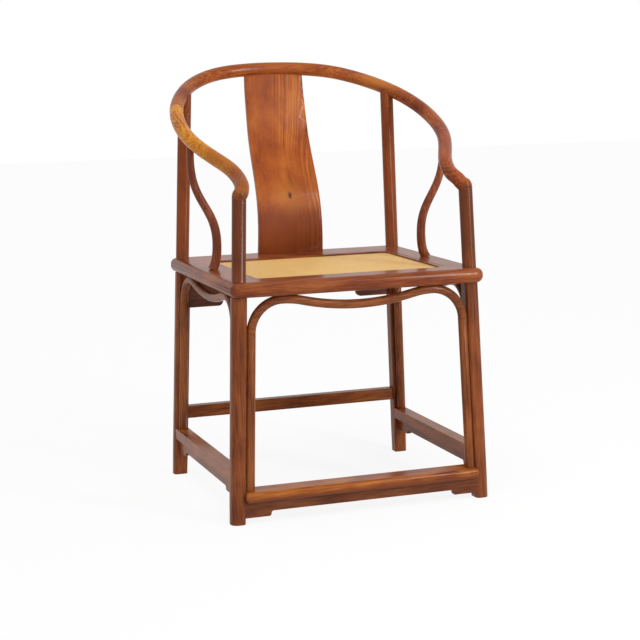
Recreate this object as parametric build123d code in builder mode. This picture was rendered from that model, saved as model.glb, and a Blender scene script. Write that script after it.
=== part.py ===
from build123d import *
import math
import os

os.makedirs("parts", exist_ok=True)

# ---------------------------------------------------------------------------
# Horseshoe back armchair. Millimetres, front towards -Y, +Z up.
# Origin: on the floor, at the middle of the chair's whole outline. The sizes
# below are set out from the middle of the four legs; save() moves each piece to
# the origin.
# ---------------------------------------------------------------------------

# Fits
joint_gap = 0.15          # round or shaped faces that meet another piece
socket_end_gap = 1.0      # room beyond the end of a tenon
tenon_root = 2.0          # how far a tenon runs back into its own piece

# Working blocks
cut_size = 800.0          # larger than any piece that is cut with it
cut_margin = 20.0         # how far a cut or a start runs past what it meets
tiny = 0.1                # tolerance for picking edges and corners

# Seat frame
seat_height = 510.0
rail_thickness = 32.0
seat_side_wall = 9.0      # wood left outside the legs' holes
seat_front_wall = 17.5
seat_rear_wall = 16.5
side_rail_width = 75.0
front_rail_width = 67.0
rear_rail_width = 119.0
rebate_width = 10.0
rebate_depth = 9.0
opening_corner_radius = 24.0
seat_corner_radius = 18.0
seat_top_radius = 14.0
seat_bottom_radius = 15.0
rail_tenon_width = 11.0
rail_tenon_height = 10.0
rail_tenon_inset = 8.0
rail_tenon_length = 44.0
mitre_inward = 60.0       # how far inside the seat opening the rails' wedges meet
mitre_outward = 1.3       # how far past the seat's corner they reach, as a multiple
strip_inward = -4.0       # the same two for the strips round the seat panel
strip_outward = 3.0

# Legs. The axes lean outwards by the same amount at every corner.
leg_half_span = 261.0
leg_half_depth = 222.5
lean_x = 0.038
lean_y = 0.0265
post_diameter = 30.0
leg_width = 32.0
foot_width = 31.0
foot_height = 52.0
leg_outer_share = 0.47    # corner radii of a leg, as shares of its width there
leg_side_share = 0.30
leg_inner_share = 0.09
post_tenon_diameter = 12.0
post_tenon_length = 12.0
rear_tenon_length = 30.0
rear_tenon_past_middle = 2.0   # how far it rises past the hoop's middle line

# Hoop
hoop_diameter = 30.5
arm_joint_rise = 169.5    # height of the arm's joint above the seat
scarf_length = 60.0
scarf_overlap = 1.0
scarf_before_leg = 62.5   # from the rear legs' axes at the seat to the scarf's middle
scarf_pin_size = 7.0
arm_reach = 280.0         # either side of the scarf's line, past the whole arm

# Back splat
splat_thickness = 10.0
splat_top_width = 142.0
splat_bottom_width = 159.0
splat_top_drop = 7.0      # from the hoop's middle line to the splat's top
splat_run_out = 25.0      # straight run of the working shape above the splat
splat_run_slope = 0.12
splat_start_slope = -0.12
splat_end_slope = 0.06
splat_tenon_depth = 11.0
splat_tenon_inset = 14.0
splat_tenon_thickness = 7.0

# Side struts
strut_bottom_diameter = 21.0
strut_top_diameter = 15.5
strut_y = -2.0
strut_tenon_diameter = 9.0
strut_tenon_length = 10.0

# Round-bar arches
bar_diameter = 19.5
bar_flat = 0.5            # depth of the flat where a bar is fitted to a face
front_arch_outward = 6.5  # from the legs' axes to the middle of the front arch
bar_seat_depth = 4.0      # how far a side arch's bar reaches down round the stretcher's top
front_corner_radius = 70.0
front_peak_radius = 190.0
front_dip = 20.5
side_corner_radius = 58.0
side_peak_radius = 160.0
side_dip = 17.5

# Footrest and stretchers
footrest_top = 69.5
footrest_thickness = 23.0
footrest_nose_reach = 13.25    # in front of the legs
footrest_rear_reach = 23.5     # behind the legs' axes
footrest_overlap = 5.0
footrest_bury = 2.0       # run into the legs before their shape is cut away
footrest_rear_ease = 1.0
footrest_tenon_width = 20.0
footrest_nose_radius = 9.0
footrest_edge_radius = 8.5
stretcher_side_top = 111.0
stretcher_side_height = 24.0
stretcher_side_width = 29.5
stretcher_side_inward = 0.8    # from the legs' axes to the stretcher's middle
stretcher_side_radius = 12.0
stretcher_side_under_radius = 4.0
stretcher_rear_top = 161.0
stretcher_rear_height = 28.5
stretcher_rear_width = 22.0
stretcher_rear_radius = 8.0
stretcher_tenon_length = 14.0
stretcher_tenon_thickness = 9.0
stretcher_tenon_inset = 6.0

# Aprons under the stretchers
apron_thickness = 10.0
footrest_apron_bottom = 24.0
footrest_apron_end_drop = 11.0
footrest_apron_end_length = 55.0
side_apron_bottom = 65.4
side_apron_end_drop = 9.0
side_apron_end_length = 56.0
apron_bury = 6.0          # run into the legs before their shape is cut away
footrest_apron_outward = 8.0   # from the legs' axes to the apron's middle

# Rear apron
rear_apron_strip_height = 45.0
rear_apron_end_drop = 84.0
rear_apron_end_width = 83.0
rear_apron_corner_radius = 12.0

# Seat panel
webbing_thickness = 2.5
cane_thickness = 2.5
strip_thickness = 3.6
panel_side_gap = 0.3
bearer_width = 34.0
bearer_thickness = 17.0
bearer_half_span = 78.0
bearer_sag = 6.0
bearer_housing = 12.0

rail_underside = seat_height - rail_thickness
seat_half_width = leg_half_span + post_diameter / 2 + seat_side_wall
seat_front = -leg_half_depth - post_diameter / 2 - seat_front_wall
seat_rear = leg_half_depth + post_diameter / 2 + seat_rear_wall
arm_joint_height = seat_height + arm_joint_rise
scarf_centre_y = leg_half_depth - scarf_before_leg

# Line of the hoop's right half, from the middle of the back to the arm's joint with
# the front leg: across as a share of leg_half_span, back as a share of
# leg_half_depth, and height above the seat.
hoop_shape = [
    (0.0000, 1.4520, 428.0),
    (0.3065, 1.4340, 425.5),
    (0.5747, 1.3720, 416.5),
    (0.7854, 1.2240, 400.0),
    (0.9610, 0.9640, 376.7),
    (1.0940, 0.6373, 345.5),
    (1.1480, 0.2818, 311.0),
    (1.1205, -0.0656, 278.0),
    (1.0090, -0.4112, 244.5),
    (0.9253, -0.6652, 218.0),
    (0.9180, -0.8404, 198.5),
    (0.9387, -0.9317, 187.8),
    (0.9579, -0.9676, 180.3),
]
hoop_half = [
    (across * leg_half_span, back * leg_half_depth, seat_height + rise) for across, back, rise in hoop_shape
]

# Side view of the splat's middle line, bottom to top: back as a share of
# leg_half_depth, and height above the seat.
splat_shape = [
    (0.9708, 0.0),
    (0.9551, 62.0),
    (1.0180, 136.0),
    (1.1640, 205.0),
    (1.3213, 285.0),
    (1.4010, 358.0),
    (1.4400, 421.0),
]
splat_line = [(back * leg_half_depth, seat_height + rise) for back, rise in splat_shape]
splat_top = hoop_half[0][2] - splat_top_drop

# Front view of the right strut's middle line, bottom to top: across as a share of
# leg_half_span, and height above the seat.
strut_shape = [
    (0.9732, 0.0),
    (0.9330, 31.0),
    (0.9272, 63.0),
    (0.9559, 103.0),
    (1.0364, 145.0),
    (1.1073, 185.0),
    (1.1341, 226.0),
    (1.1276, 284.0),
]
strut_line = [(across * leg_half_span, seat_height + rise) for across, rise in strut_shape]


def leg_axis_point(side, end, z):
    """Point on a leg's axis. side is +1 right or -1 left, end is +1 rear or -1 front."""
    rise = seat_height - z
    return (side * (leg_half_span + lean_x * rise), end * (leg_half_depth + lean_y * rise), z)


# Front and rear edges of the footrest, set out from the front legs
footrest_middle_z = footrest_top - footrest_thickness / 2
footrest_leg_y = leg_axis_point(1, -1, footrest_middle_z)[1]
footrest_leg_front = footrest_leg_y - leg_width / 2
footrest_front = footrest_leg_front - footrest_nose_reach
footrest_rear = footrest_leg_y + footrest_rear_reach

# Middle of the whole outline, between the footrest's nose and the back of the hoop
outline_middle = (footrest_front + hoop_half[0][1] + hoop_diameter / 2) / 2


def leg_axis_direction(side, end):
    """Upward direction of a leg's axis."""
    return Vector(-side * lean_x, -end * lean_y, 1).normalized()


def leg_section(side, end, z, width, grow):
    """Horizontal section of a leg: round to the outside, square to the inside."""
    x, y, _ = leg_axis_point(side, end, z)
    full = width + 2 * grow
    with BuildSketch(Plane.XY.offset(z)) as section:
        with Locations((x, y)):
            Rectangle(full, full)
        outer = section.vertices().filter_by(lambda v: side * (v.X - x) > 0 and end * (v.Y - y) > 0)
        fillet(outer, leg_outer_share * width + grow)
        far = section.vertices().filter_by(lambda v: side * (v.X - x) * end * (v.Y - y) < 0)
        far = far.filter_by(lambda v: abs(v.X - x) > full / 2 - tiny and abs(v.Y - y) > full / 2 - tiny)
        fillet(far, leg_side_share * width + grow)
        inner = section.vertices().filter_by(
            lambda v: side * (v.X - x) < -full / 2 + tiny and end * (v.Y - y) < -full / 2 + tiny
        )
        fillet(inner, leg_inner_share * width + grow)
    return section.sketch


def lower_leg(side, end, grow):
    """The thick part of a leg, from the floor to the seat frame."""
    with BuildPart() as lower:
        add(leg_section(side, end, 0, foot_width, grow))
        add(leg_section(side, end, foot_height, leg_width, grow))
        loft(ruled=True)
        add(leg_section(side, end, foot_height, leg_width, grow))
        add(leg_section(side, end, rail_underside, leg_width, grow))
        loft(ruled=True)
    return lower.part


def post_cylinder(side, end, diameter, low, high):
    """Round bar along a leg's axis between two points given by height."""
    start = Vector(*leg_axis_point(side, end, low))
    stop = Vector(*leg_axis_point(side, end, high))
    with BuildPart() as bar:
        with BuildSketch(Plane(origin=start, z_dir=leg_axis_direction(side, end))):
            Circle(diameter / 2)
        extrude(amount=(stop - start).length)
    return bar.part


leg_voids = {}
for side in (1, -1):
    for end in (1, -1):
        leg_voids[(side, end)] = lower_leg(side, end, joint_gap)

# ---------------------------------------------------------------------------
# Hoop: one curved bar, cut into the crest rail and two arms
# ---------------------------------------------------------------------------
arm_end = leg_axis_point(1, -1, arm_joint_height)
hoop_line = hoop_half + [arm_end]
hoop_start_direction = Vector(1, 0, 0)
hoop_end_direction = leg_axis_direction(1, -1) * -1


def hoop_bar(diameter):
    """The whole hoop as one bar: the right half and its mirror image."""
    with BuildPart() as bar:
        with BuildLine():
            Spline(*hoop_line, tangents=[hoop_start_direction, hoop_end_direction])
        with BuildSketch(Plane(origin=hoop_line[0], z_dir=hoop_start_direction)):
            Circle(diameter / 2)
        sweep()
        mirror(about=Plane.YZ)
    return bar.part


with BuildLine() as hoop_middle:
    Spline(*hoop_line, tangents=[hoop_start_direction, hoop_end_direction])

hoop_solid = hoop_bar(hoop_diameter)
hoop_void = hoop_bar(hoop_diameter + 2 * joint_gap)


def hoop_position_at_y(target_y):
    """Place along the right half of the hoop, as a share of its length, with the given y."""
    low = 0.15
    high = 0.6
    for _ in range(40):
        middle = (low + high) / 2
        if (hoop_middle.line @ middle).Y > target_y:
            low = middle
        else:
            high = middle
    return (low + high) / 2


def rear_meeting_height():
    """Height where the rear legs' axes reach the hoop's middle line."""
    height = hoop_half[4][2]
    for _ in range(6):
        back = leg_axis_point(1, 1, height)[1]
        height = (hoop_middle.line @ hoop_position_at_y(back)).Z
    return height


hoop_meeting_height = rear_meeting_height()
scarf_at = hoop_position_at_y(scarf_centre_y)
scarf_centre = hoop_middle.line @ scarf_at
scarf_direction = hoop_middle.line % scarf_at
lap_size = 2 * hoop_diameter + 2 * scarf_overlap


def scarf_plane(side):
    """Plane through the scarf's middle: x along the bar to the front, z square to the lap."""
    along = Vector(side * scarf_direction.X, scarf_direction.Y, scarf_direction.Z)
    origin = Vector(side * scarf_centre.X, scarf_centre.Y, scarf_centre.Z)
    across = Vector(0, 0, 1).cross(along).normalized()
    return Plane(origin=origin, x_dir=along, z_dir=along.cross(across))


def arm_space(side):
    """Everything in front of the scarf's upper shoulder, and the lower half of the lap."""
    with BuildPart(scarf_plane(side)) as space:
        with Locations(((scarf_length + cut_size) / 2, 0, 0)):
            Box(cut_size, 2 * arm_reach, 2 * cut_size)
        with Locations((0, 0, -lap_size / 2)):
            Box(scarf_length + 2 * scarf_overlap, lap_size, lap_size)
    return space.part


def scarf_pin_box(side):
    """Square bar across the middle of the lap."""
    with BuildPart(scarf_plane(side)) as box:
        Box(scarf_pin_size, lap_size, scarf_pin_size)
    return box.part


# Lines of the splat, used for its own shape and for its slot in the crest rail
def splat_side_shape(thickness, low, high):
    """Plank that follows the splat's side view."""
    with BuildPart() as plank:
        with BuildSketch(Plane.YZ):
            with BuildLine():
                Spline(*splat_line, tangents=[(splat_start_slope, 1), (splat_end_slope, 1)])
                end_y, end_z = splat_line[-1]
                Line((end_y, end_z), (end_y + splat_run_slope * splat_run_out, end_z + splat_run_out))
            trace(line_width=thickness)
        extrude(amount=splat_bottom_width, both=True)
        with BuildSketch(Plane.XY.offset(low)):
            Rectangle(2 * cut_size, 2 * cut_size)
        extrude(amount=high - low, mode=Mode.INTERSECT)
    return plank.part


def splat_outline(grow):
    """Front view of the splat: wider at the bottom."""
    with BuildPart() as outline:
        with BuildSketch(Plane.XZ.offset(-cut_size)):
            with BuildLine():
                Polyline(
                    (-splat_bottom_width / 2 - grow, seat_height),
                    (splat_bottom_width / 2 + grow, seat_height),
                    (splat_top_width / 2 + grow, splat_top + grow),
                    (-splat_top_width / 2 - grow, splat_top + grow),
                    close=True,
                )
            make_face()
        extrude(amount=cut_size)
    return outline.part


def splat_tenon(grow, depth):
    """Tongue on the splat's lower end."""
    with BuildPart() as tongue:
        with Locations((0, splat_line[0][0], seat_height + (tenon_root - depth) / 2)):
            Box(
                splat_bottom_width - 2 * splat_tenon_inset + 2 * grow,
                splat_tenon_thickness + 2 * grow,
                depth + tenon_root,
            )
    return tongue.part


splat_slot = splat_side_shape(splat_thickness + 2 * joint_gap, seat_height, splat_top + socket_end_gap)
splat_slot = splat_slot & splat_outline(joint_gap)


def strut_solid():
    """Right-hand bent round strut, thinner towards the top."""
    with BuildLine() as middle:
        Spline(*[(x, strut_y, z) for x, z in strut_line])
    with BuildPart() as strut:
        stations = 9
        for index in range(stations):
            share = index / (stations - 1)
            diameter = strut_bottom_diameter + (strut_top_diameter - strut_bottom_diameter) * share
            with BuildSketch(Plane(origin=middle.line @ share, z_dir=middle.line % share)):
                Circle(diameter / 2)
        loft()
    return strut.part


def strut_tenon(side, at_top, grow):
    """Short round tenon at either end of a strut, or its socket when grow is set."""
    x, z = strut_line[-1] if at_top else strut_line[0]
    extra = socket_end_gap if grow else 0
    low = z - hoop_diameter if at_top else z - strut_tenon_length - extra
    high = z + extra if at_top else z + tenon_root
    with BuildPart() as tenon:
        with Locations((side * x, strut_y, (low + high) / 2)):
            Cylinder(strut_tenon_diameter / 2 + grow, high - low)
    return tenon.part


def save(piece, name):
    """Move a piece from the seat's frame to the chair's origin, label it and write its STEP file."""
    placed = piece.moved(Location((0, -outline_middle, 0)))
    placed.label = name
    export_step(placed, f"parts/{name}.step")


def save_pair(piece, name):
    """Save a right-hand piece and its mirror image on the left."""
    save(piece, f"{name}_right")
    save(mirror(piece, about=Plane.YZ), f"{name}_left")


sides = {"left": -1, "right": 1}
right = sides["right"]
ends = {"front": -1, "rear": 1}

with BuildPart() as crest_rail:
    add(hoop_solid)
    add(splat_slot, mode=Mode.SUBTRACT)
    for side in sides.values():
        add(arm_space(side), mode=Mode.SUBTRACT)
        add(scarf_pin_box(side), mode=Mode.SUBTRACT)
        rear_socket = post_cylinder(
            side,
            1,
            post_tenon_diameter + 2 * joint_gap,
            hoop_meeting_height - rear_tenon_length,
            hoop_meeting_height + rear_tenon_past_middle + socket_end_gap,
        )
        add(rear_socket, mode=Mode.SUBTRACT)
save(crest_rail.part, "crest_rail")

with BuildPart() as arm:
    add(hoop_solid)
    add(arm_space(right), mode=Mode.INTERSECT)
    add(scarf_pin_box(right), mode=Mode.SUBTRACT)
    add(strut_tenon(right, True, joint_gap), mode=Mode.SUBTRACT)
    front_socket = post_cylinder(
        right,
        -1,
        post_tenon_diameter + 2 * joint_gap,
        arm_joint_height - tenon_root,
        arm_joint_height + post_tenon_length + socket_end_gap,
    )
    add(front_socket, mode=Mode.SUBTRACT)
save_pair(arm.part, "arm")

with BuildPart() as scarf_pin:
    add(hoop_solid)
    add(scarf_pin_box(right), mode=Mode.INTERSECT)
save_pair(scarf_pin.part, "scarf_pin")

# ---------------------------------------------------------------------------
# Seat frame: a ring with a rounded edge, cut into four mitred rails
# ---------------------------------------------------------------------------
opening_half_width = seat_half_width - side_rail_width + rebate_width
opening_front = seat_front + front_rail_width - rebate_width
opening_rear = seat_rear - rear_rail_width + rebate_width
seat_depth = seat_rear - seat_front
seat_middle_y = (seat_rear + seat_front) / 2


def opening_shape(shrink, low, high):
    """Block with rounded corners that fills the seat opening, made smaller all round."""
    width = 2 * (opening_half_width - shrink)
    depth = opening_rear - opening_front - 2 * shrink
    with BuildPart() as block:
        with BuildSketch(Plane.XY.offset(low)):
            with Locations((0, (opening_rear + opening_front) / 2)):
                RectangleRounded(width, depth, opening_corner_radius - shrink)
        extrude(amount=high - low)
    return block.part


def leg_holes(grow):
    """Round bars where the four legs pass up through the seat frame."""
    with BuildPart() as holes:
        for side in sides.values():
            for end in ends.values():
                add(
                    post_cylinder(
                        side,
                        end,
                        post_diameter + 2 * grow,
                        rail_underside - cut_margin,
                        seat_height + cut_margin,
                    )
                )
    return holes.part


with BuildPart() as seat_ring:
    with BuildSketch(Plane.XY.offset(rail_underside)):
        with Locations((0, seat_middle_y)):
            RectangleRounded(2 * seat_half_width, seat_depth, seat_corner_radius)
    extrude(amount=rail_thickness)
    top_edges = seat_ring.faces().sort_by(Axis.Z)[-1].edges()
    fillet(top_edges, seat_top_radius)
    bottom_edges = seat_ring.faces().sort_by(Axis.Z)[0].edges()
    fillet(bottom_edges, seat_bottom_radius)
    add(
        opening_shape(rebate_width, rail_underside - cut_margin, seat_height + cut_margin),
        mode=Mode.SUBTRACT,
    )
    add(opening_shape(0, seat_height - rebate_depth, seat_height + cut_margin), mode=Mode.SUBTRACT)
    add(leg_holes(joint_gap), mode=Mode.SUBTRACT)
seat_ring_solid = seat_ring.part

corner_x = opening_half_width - rebate_width
corner_front = opening_front + rebate_width
corner_rear = opening_rear - rebate_width
rail_middle_z = seat_height - rail_thickness / 2


def mitre_block(points):
    """Wedge of the seat, from its plan view."""
    with BuildPart() as block:
        with BuildSketch(Plane.XY.offset(rail_underside - cut_margin)):
            with BuildLine():
                Polyline(*points, close=True)
            make_face()
        extrude(amount=rail_thickness + 2 * cut_margin)
    return block.part


def beyond(inner, outer, reach):
    """Point on the line from inner through outer, reach times as far."""
    return (inner[0] + (outer[0] - inner[0]) * reach, inner[1] + (outer[1] - inner[1]) * reach)


def rail_tenon(side, end):
    """Through tenon of a front or rear rail, which shows at the side rail's outer edge."""
    face = seat_front if end < 0 else seat_rear
    middle_y = face - end * (rail_tenon_inset + rail_tenon_width / 2)
    with BuildPart() as tenon:
        middle_x = seat_half_width + (cut_margin - rail_tenon_length) / 2
        with Locations((side * middle_x, middle_y, rail_middle_z)):
            Box(
                rail_tenon_length + cut_margin,
                rail_tenon_width,
                rail_tenon_height,
            )
    return tenon.part


def cross_rail_block(end):
    """Plan of the front or rear rail between its mitres, with both tenons."""
    inner_y = corner_front if end < 0 else corner_rear
    outer_y = seat_front if end < 0 else seat_rear
    inner_right = (corner_x, inner_y)
    outer_right = beyond(inner_right, (seat_half_width, outer_y), mitre_outward)
    middle = (0, inner_y - end * mitre_inward)
    points = [
        middle,
        inner_right,
        outer_right,
        (-outer_right[0], outer_right[1]),
        (-inner_right[0], inner_right[1]),
    ]
    with BuildPart() as block:
        add(mitre_block(points))
        for side in sides.values():
            add(rail_tenon(side, end))
    return block.part


cross_rail_spaces = {end: cross_rail_block(end) for end in ends.values()}


def bearer_housing_box(side, end, grow):
    """Housing for a bearer's end in the front or rear rail."""
    inner_y = corner_front if end < 0 else corner_rear
    height = bearer_thickness + cut_margin
    middle_y = inner_y + end * bearer_housing / 2
    middle_z = rail_underside + bearer_thickness - height / 2
    with BuildPart() as box:
        with Locations((side * bearer_half_span, middle_y, middle_z)):
            Box(bearer_width + 2 * grow, bearer_housing + 2 * grow, height + 2 * grow)
    return box.part


with BuildPart() as splat_mortise:
    add(splat_tenon(joint_gap, splat_tenon_depth + socket_end_gap))

for end_name, end in ends.items():
    with BuildPart() as rail:
        add(seat_ring_solid)
        add(cross_rail_spaces[end], mode=Mode.INTERSECT)
        for side in sides.values():
            add(bearer_housing_box(side, end, joint_gap), mode=Mode.SUBTRACT)
        if end > 0:
            add(splat_mortise.part, mode=Mode.SUBTRACT)
    save(rail.part, f"seat_rail_{end_name}")

with BuildPart() as rail:
    add(seat_ring_solid)
    with Locations((right * cut_size / 2, 0, seat_height)):
        Box(cut_size, 2 * cut_size, cut_size, mode=Mode.INTERSECT)
    for end in ends.values():
        add(cross_rail_spaces[end], mode=Mode.SUBTRACT)
    add(strut_tenon(right, False, joint_gap), mode=Mode.SUBTRACT)
save_pair(rail.part, "seat_rail")

# Bearers: flat bars that sag in the middle, clear of the seat panel
bearer_front = corner_front - bearer_housing
bearer_rear = corner_rear + bearer_housing
with BuildPart() as bearer:
    with BuildSketch(Plane.YZ.offset(right * bearer_half_span - bearer_width / 2)):
        top = rail_underside + bearer_thickness
        half = (bearer_rear - bearer_front) / 2
        middle = (bearer_rear + bearer_front) / 2
        with BuildLine():
            Line((bearer_front, rail_underside), (bearer_front, top))
            Line((bearer_front, top), (corner_front, top))
            ThreePointArc((corner_front, top), (middle, top - bearer_sag), (corner_rear, top))
            Line((corner_rear, top), (bearer_rear, top))
            Line((bearer_rear, top), (bearer_rear, rail_underside))
            ThreePointArc(
                (bearer_rear, rail_underside),
                (middle, rail_underside - bearer_sag),
                (bearer_front, rail_underside),
            )
        make_face()
    extrude(amount=bearer_width)
save_pair(bearer.part, "seat_bearer")

# Seat panel: webbing, cane and the four strips that hold them in the rebate
rebate_floor = seat_height - rebate_depth
webbing_top = rebate_floor + webbing_thickness
cane_top = webbing_top + cane_thickness
save(opening_shape(panel_side_gap, rebate_floor, webbing_top), "palm_webbing")
save(opening_shape(panel_side_gap, webbing_top, cane_top), "cane_panel")

with BuildPart() as strip_ring:
    add(opening_shape(panel_side_gap, cane_top, cane_top + strip_thickness))
    add(
        opening_shape(rebate_width, cane_top - cut_margin, cane_top + strip_thickness + cut_margin),
        mode=Mode.SUBTRACT,
    )

for end_name, end in ends.items():
    inner_y = corner_front if end < 0 else corner_rear
    outer_y = opening_front if end < 0 else opening_rear
    inner_right = (corner_x, inner_y)
    outer_right = beyond(inner_right, (opening_half_width, outer_y), strip_outward)
    far = beyond(inner_right, (opening_half_width, outer_y), strip_inward)
    points = [far, outer_right, (-outer_right[0], outer_right[1]), (-far[0], far[1])]
    with BuildPart() as strip:
        add(strip_ring.part)
        add(mitre_block(points), mode=Mode.INTERSECT)
    save(strip.part, f"cane_strip_{end_name}")

near_front = beyond((corner_x, corner_front), (opening_half_width, opening_front), strip_outward)
near_rear = beyond((corner_x, corner_rear), (opening_half_width, opening_rear), strip_outward)
far_front = beyond((corner_x, corner_front), (opening_half_width, opening_front), strip_inward)
far_rear = beyond((corner_x, corner_rear), (opening_half_width, opening_rear), strip_inward)
points = [(right * x, y) for x, y in (near_front, near_rear, far_rear, far_front)]
with BuildPart() as strip:
    add(strip_ring.part)
    add(mitre_block(points), mode=Mode.INTERSECT)
save_pair(strip.part, "cane_strip")

# ---------------------------------------------------------------------------
# Back splat
# ---------------------------------------------------------------------------
with BuildPart() as back_splat:
    add(splat_side_shape(splat_thickness, seat_height, splat_top))
    add(splat_outline(0), mode=Mode.INTERSECT)
    add(splat_tenon(0, splat_tenon_depth))
save(back_splat.part, "back_splat")

# ---------------------------------------------------------------------------
# Side struts
# ---------------------------------------------------------------------------
with BuildPart() as strut:
    add(strut_solid())
    add(hoop_void, mode=Mode.SUBTRACT)
    with Locations((0, 0, seat_height - cut_size / 2)):
        Box(2 * cut_size, 2 * cut_size, cut_size, mode=Mode.SUBTRACT)
    add(strut_tenon(right, True, 0))
    add(strut_tenon(right, False, 0))
save_pair(strut.part, "side_strut")

# ---------------------------------------------------------------------------
# Round-bar arches
# ---------------------------------------------------------------------------


def front_plane():
    """Plane of the front arch, along the two front legs: x across, y up along the lean."""
    return Plane(
        origin=(0, -leg_half_depth - front_arch_outward, seat_height),
        x_dir=(1, 0, 0),
        z_dir=Vector(0, -1, lean_y).normalized(),
    )


def side_plane(side):
    """Plane of the arch along the two legs on one side: x to the rear, y up along the lean."""
    return Plane(
        origin=(side * leg_half_span, 0, seat_height),
        x_dir=(0, 1, 0),
        z_dir=Vector(1, 0, side * lean_x).normalized(),
    )


def arch_half(bar_line, corner, peak, dip):
    """Points of half an arch, from the top of its upright to the middle of the dip.

    bar_line is the upright's distance from the middle. The corner is a quarter
    circle up to the peak, and two arcs lead from there down into the dip.
    """
    peak_height = rail_underside - seat_height - bar_diameter / 2 + bar_flat * 2
    peak_x = bar_line - corner
    radii = (peak_x**2 + dip**2) / (2 * dip)
    turn = math.asin(peak_x / radii)
    low_radius = radii - peak
    join = (low_radius * math.sin(turn), peak_height - peak * (1 - math.cos(turn)))
    peak_middle = (peak_x - peak * math.sin(turn / 2), peak_height - peak * (1 - math.cos(turn / 2)))
    low_middle = (
        low_radius * math.sin(turn / 2),
        peak_height - dip + low_radius * (1 - math.cos(turn / 2)),
    )
    diagonal = corner * math.sqrt(0.5)
    corner_middle = (peak_x + diagonal, peak_height - corner + diagonal)
    return {
        "upright": (bar_line, peak_height - corner),
        "corner": corner_middle,
        "peak": (peak_x, peak_height),
        "peak_middle": peak_middle,
        "join": join,
        "low_middle": low_middle,
        "dip": (0, peak_height - dip),
    }


def arch_top(plane, half):
    """Top member of an arch: corners, peaks and dip, flat where it meets the rail."""

    def flip(point):
        return (-point[0], point[1])

    with BuildPart() as top:
        with BuildLine(plane):
            ThreePointArc(flip(half["upright"]), flip(half["corner"]), flip(half["peak"]))
            ThreePointArc(flip(half["peak"]), flip(half["peak_middle"]), flip(half["join"]))
            ThreePointArc(flip(half["join"]), flip(half["low_middle"]), half["dip"])
            ThreePointArc(half["dip"], half["low_middle"], half["join"])
            ThreePointArc(half["join"], half["peak_middle"], half["peak"])
            ThreePointArc(half["peak"], half["corner"], half["upright"])
        start = plane.from_local_coords(Vector(*flip(half["upright"]), 0))
        with BuildSketch(Plane(origin=start, z_dir=plane.y_dir)):
            Circle(bar_diameter / 2)
        sweep()
        with Locations((0, 0, rail_underside + cut_size / 2)):
            Box(2 * cut_size, 2 * cut_size, cut_size, mode=Mode.SUBTRACT)
    return top.part


def space_above(plane, height):
    """Everything above one height on an arch's plane."""
    start = plane.from_local_coords(Vector(0, height, 0))
    with BuildPart() as space:
        with BuildSketch(Plane(origin=start, z_dir=plane.y_dir)):
            Rectangle(2 * cut_size, 2 * cut_size)
        extrude(amount=cut_size)
    return space.part


def bar_between(start, stop, diameter):
    """Round bar between two points."""
    start = Vector(*start)
    stop = Vector(*stop)
    with BuildPart() as bar:
        with BuildSketch(Plane(origin=start, z_dir=(stop - start).normalized())):
            Circle(diameter / 2)
        extrude(amount=(stop - start).length)
    return bar.part


def bar_inset_at(z, half_size, lean):
    """Distance from the middle to an upright's axis, beside the legs, at one height."""
    return half_size + lean * (seat_height - z) - leg_width / 2 - bar_diameter / 2 + bar_flat


def edge_bar(width, height, top_radius, bottom_radius, length):
    """Bar along Y, centred on the origin, with rounded long edges."""
    with BuildPart() as bar:
        with BuildSketch(Plane.XZ.offset(-length / 2)) as section:
            Rectangle(width, height)
            fillet(section.vertices().filter_by(lambda v: v.Z > 0), top_radius)
            fillet(section.vertices().filter_by(lambda v: v.Z < 0), bottom_radius)
        extrude(amount=length)
    return bar.part


# ---------------------------------------------------------------------------
# Footrest and stretchers
# ---------------------------------------------------------------------------
side_stretcher_middle_z = stretcher_side_top - stretcher_side_height / 2
rear_stretcher_middle_z = stretcher_rear_top - stretcher_rear_height / 2


def leg_inner_x(z):
    """Distance from the middle to the legs' inner faces, across."""
    return leg_half_span + lean_x * (seat_height - z) - leg_width / 2


def leg_inner_y(z):
    """Distance from the middle to the legs' inner faces, front to back."""
    return leg_half_depth + lean_y * (seat_height - z) - leg_width / 2


def footrest_tenons(grow):
    """Bar that makes both of the footrest's tenons."""
    reach = leg_inner_x(footrest_middle_z) + stretcher_tenon_length + (socket_end_gap if grow else 0)
    with BuildPart() as tenons:
        with Locations((0, footrest_leg_y, footrest_middle_z)):
            Box(2 * reach, footrest_tenon_width + 2 * grow, stretcher_tenon_thickness + 2 * grow)
    return tenons.part


def side_stretcher_x(side):
    """Place of a side stretcher's middle, across."""
    return leg_axis_point(side, 1, side_stretcher_middle_z)[0] - side * stretcher_side_inward


def side_stretcher_tenons(side, grow):
    """Bar that makes both tenons of a side stretcher."""
    reach = leg_inner_y(side_stretcher_middle_z) + stretcher_tenon_length + (socket_end_gap if grow else 0)
    high = stretcher_side_height - 2 * stretcher_tenon_inset
    with BuildPart() as tenons:
        with Locations((side_stretcher_x(side), 0, side_stretcher_middle_z)):
            Box(stretcher_tenon_thickness + 2 * grow, 2 * reach, high + 2 * grow)
    return tenons.part


def rear_stretcher_tenons(grow):
    """Bar that makes both tenons of the rear stretcher."""
    reach = leg_inner_x(rear_stretcher_middle_z) + stretcher_tenon_length + (socket_end_gap if grow else 0)
    y = leg_axis_point(1, 1, rear_stretcher_middle_z)[1]
    high = stretcher_rear_height - 2 * stretcher_tenon_inset
    with BuildPart() as tenons:
        with Locations((0, y, rear_stretcher_middle_z)):
            Box(2 * reach, stretcher_tenon_thickness + 2 * grow, high + 2 * grow)
    return tenons.part


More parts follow.
